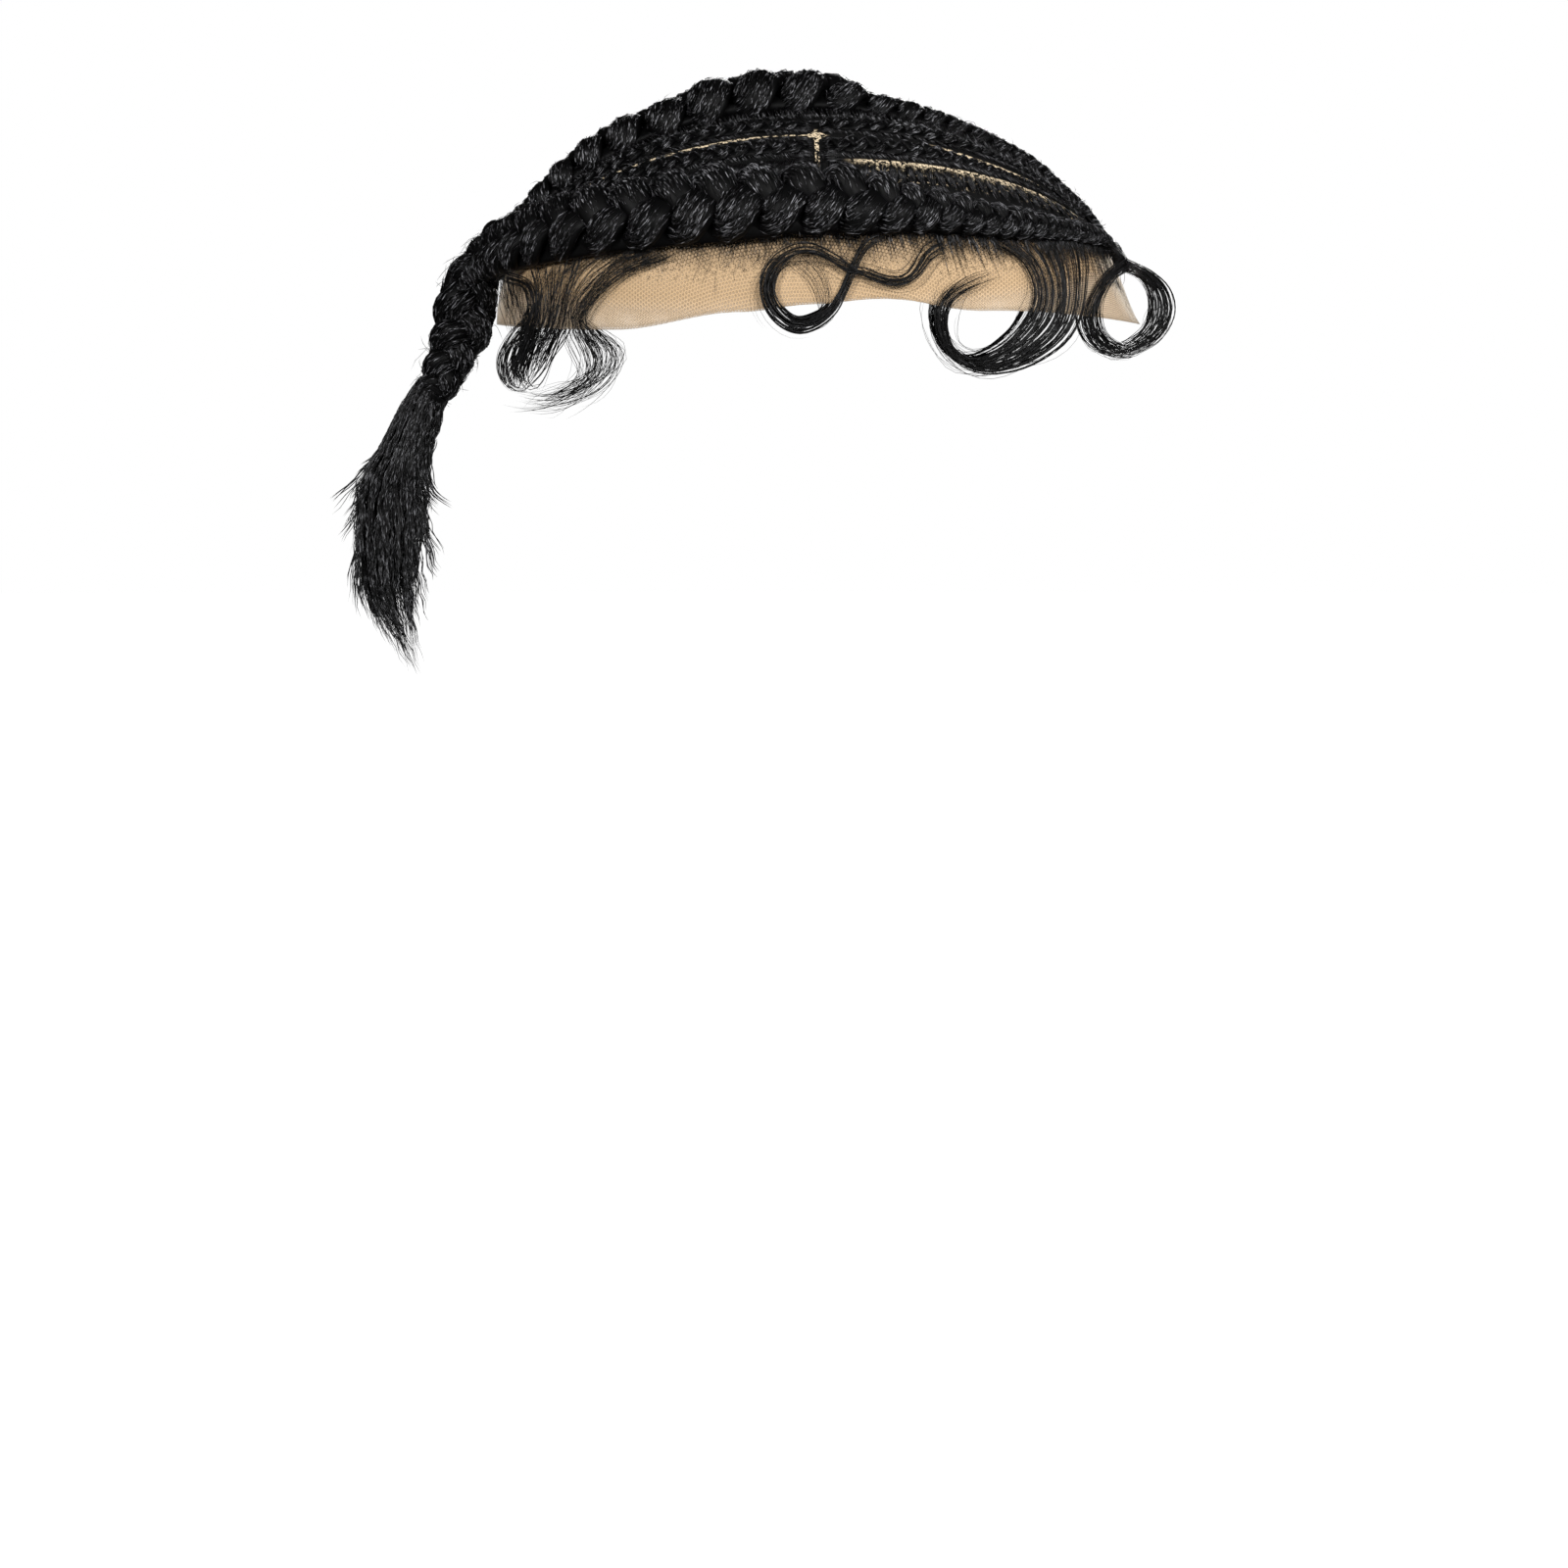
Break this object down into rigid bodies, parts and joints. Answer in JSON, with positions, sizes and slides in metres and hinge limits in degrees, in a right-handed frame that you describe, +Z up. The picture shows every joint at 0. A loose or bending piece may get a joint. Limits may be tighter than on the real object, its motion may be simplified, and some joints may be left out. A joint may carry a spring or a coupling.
{
  "type": "cornrow toupee",
  "caption": "Hair piece worn on the crown: a lace dome with thick and thin cornrow braids that run back into a short braided tail with a loose brush, and laid curls at the hairline.",
  "frame": {"origin": "centre of the head opening, at the height of the lace's rim", "axes": "+X to the wearer's front, +Y to the wearer's left, +Z up"},
  "size_m": [0.2657, 0.1654, 0.192],
  "materials": {
    "lace": "sheer net",
    "hair": "satin kinky fibre"
  },
  "bodies": {
    "root": {"lace_base": "lace", "crown_braid": "hair", "side_braid_right": "hair", "side_braid_left": "hair", "thin_row_upper_front_right": "hair", "thin_row_upper_front_left": "hair", "thin_row_upper_back_right": "hair", "thin_row_upper_back_left": "hair", "thin_row_lower_front_right": "hair", "thin_row_lower_front_left": "hair", "thin_row_lower_back_right": "hair", "thin_row_lower_back_left": "hair", "tail_braid": "hair", "tail_brush": "hair", "curl_front_right": "hair", "curl_front_left": "hair", "curl_temple_right": "hair", "curl_temple_left": "hair", "curl_side_right": "hair", "curl_side_left": "hair", "curl_nape_inner_right": "hair", "curl_nape_inner_left": "hair", "curl_nape_outer_right": "hair", "curl_nape_outer_left": "hair"}
  },
  "joints": []
}
